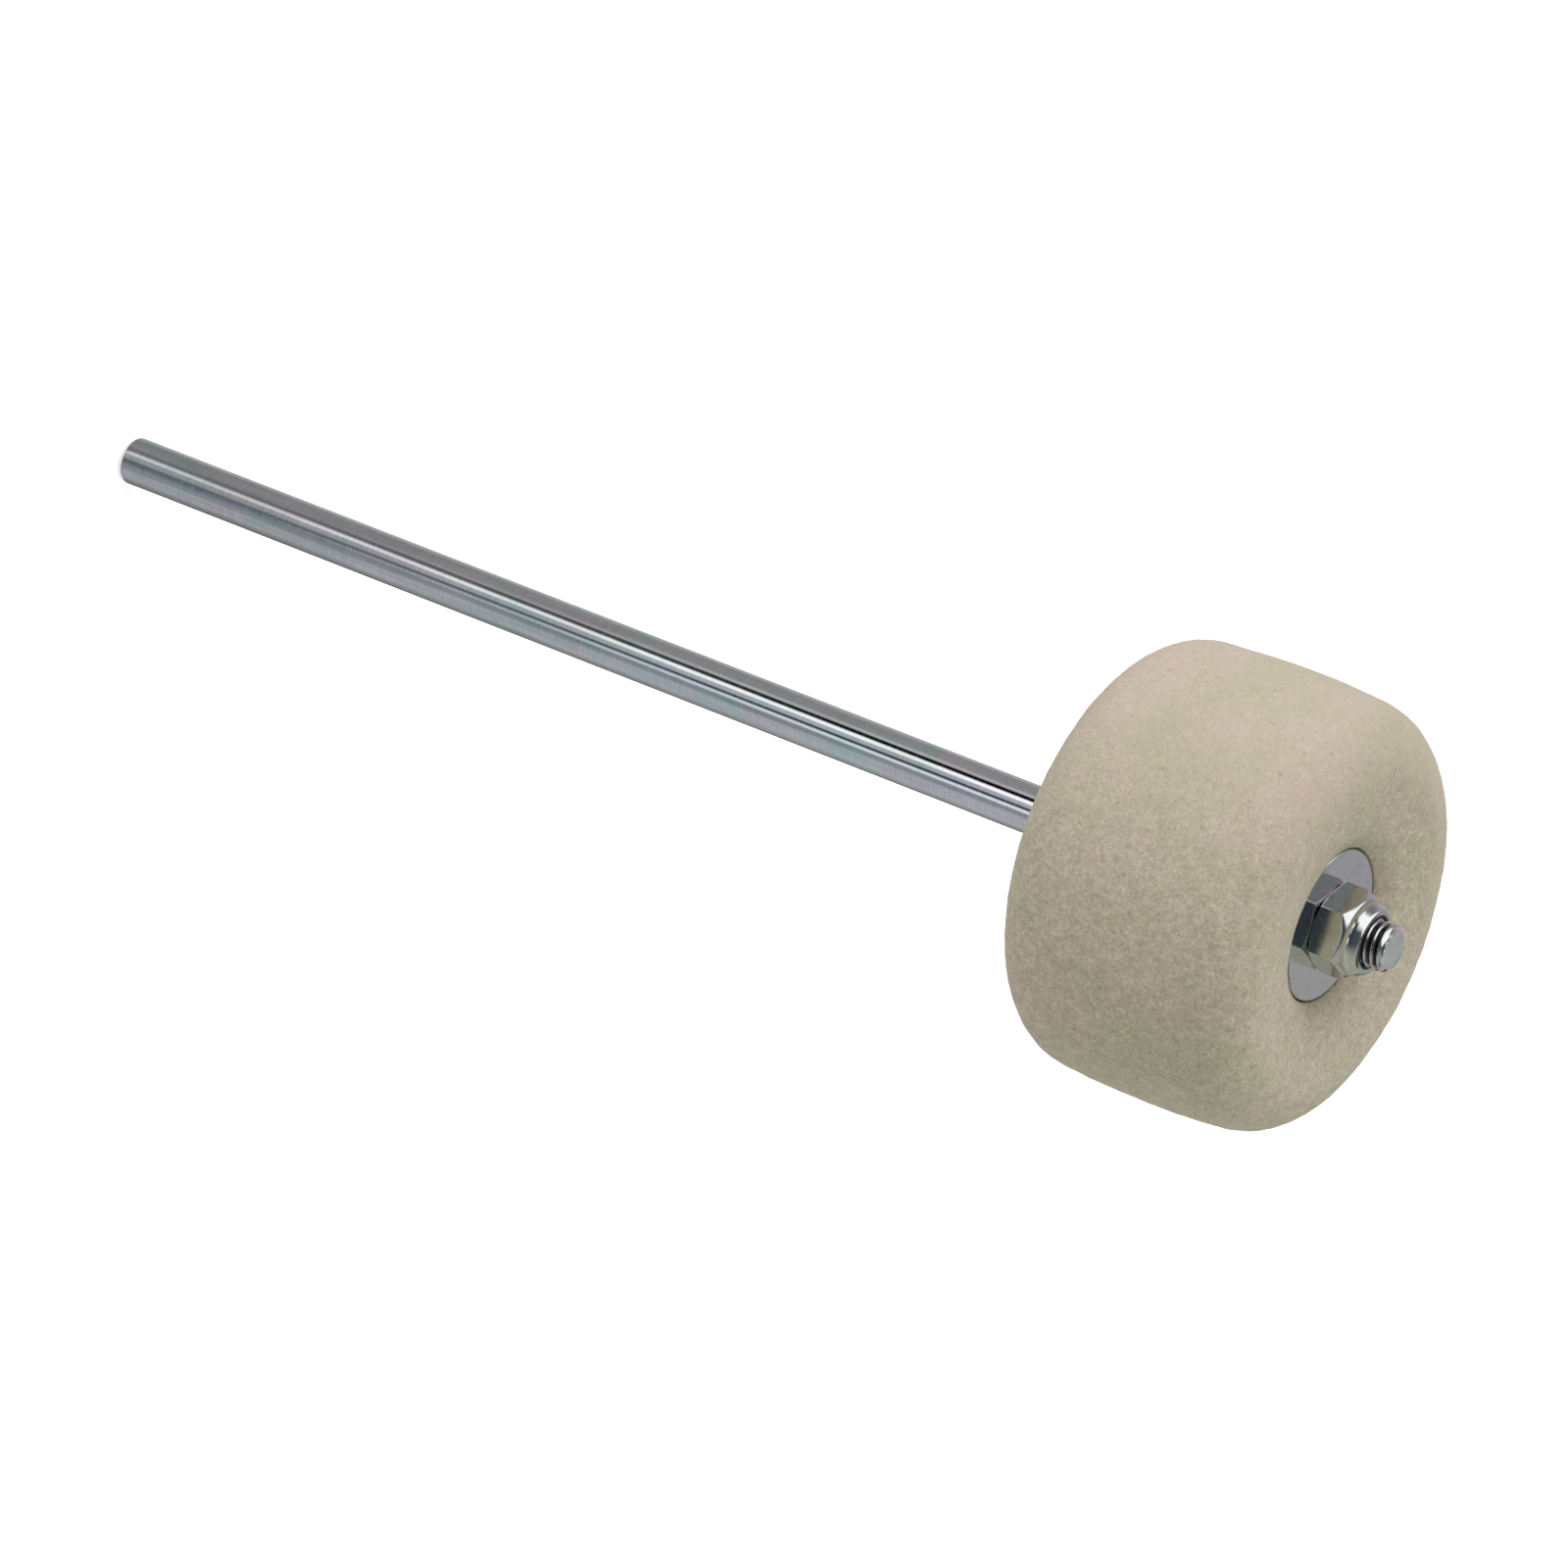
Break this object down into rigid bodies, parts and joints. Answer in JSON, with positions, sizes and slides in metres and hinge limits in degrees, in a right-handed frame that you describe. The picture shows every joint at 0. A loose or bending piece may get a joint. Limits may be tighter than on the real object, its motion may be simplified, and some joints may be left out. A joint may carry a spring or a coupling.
{
  "type": "bass drum beater",
  "caption": "Bass drum pedal beater: a drum-shaped pressed felt head clamped between wide washers by a lock nut on a straight plated steel shaft.",
  "frame": {"origin": "centre of the shaft's free end, the end that goes into the pedal's hub", "axes": "+Z along the shaft towards the felt head; +X through a corner of the nuts' hexagons"},
  "size_m": [0.0722, 0.0722, 0.248],
  "materials": {
    "plated_rod": "polished",
    "plated_hardware": "polished",
    "wool_felt": "matte",
    "insert_plastic": "satin"
  },
  "bodies": {
    "shaft": {"shaft": "plated_rod", "rear_nut": "plated_hardware", "rear_washer": "plated_hardware"},
    "head": {"felt_head": "wool_felt"},
    "front_washer": {"front_washer": "plated_hardware"},
    "lock_nut": {"lock_nut": "plated_hardware", "lock_nut_insert": "insert_plastic"}
  },
  "joints": [
    {"name": "head_turn", "type": "hinge", "parent": "shaft", "child": "head", "pos_m": [0, 0, 0.2175], "axis": [0, 0, 1], "continuous": true},
    {"name": "washer_slide", "type": "slide", "parent": "shaft", "child": "front_washer", "axis": [0, 0, 1], "range_m": [0, 0.0113]},
    {"name": "nut_turn", "type": "hinge", "parent": "front_washer", "child": "lock_nut", "pos_m": [0, 0, 0.2365], "axis": [0, 0, 1], "range_deg": [0, 3240]}
  ],
  "couplings": [
    {"joint": "washer_slide", "follows": "nut_turn", "m_per_rad": 0.00019894}
  ]
}
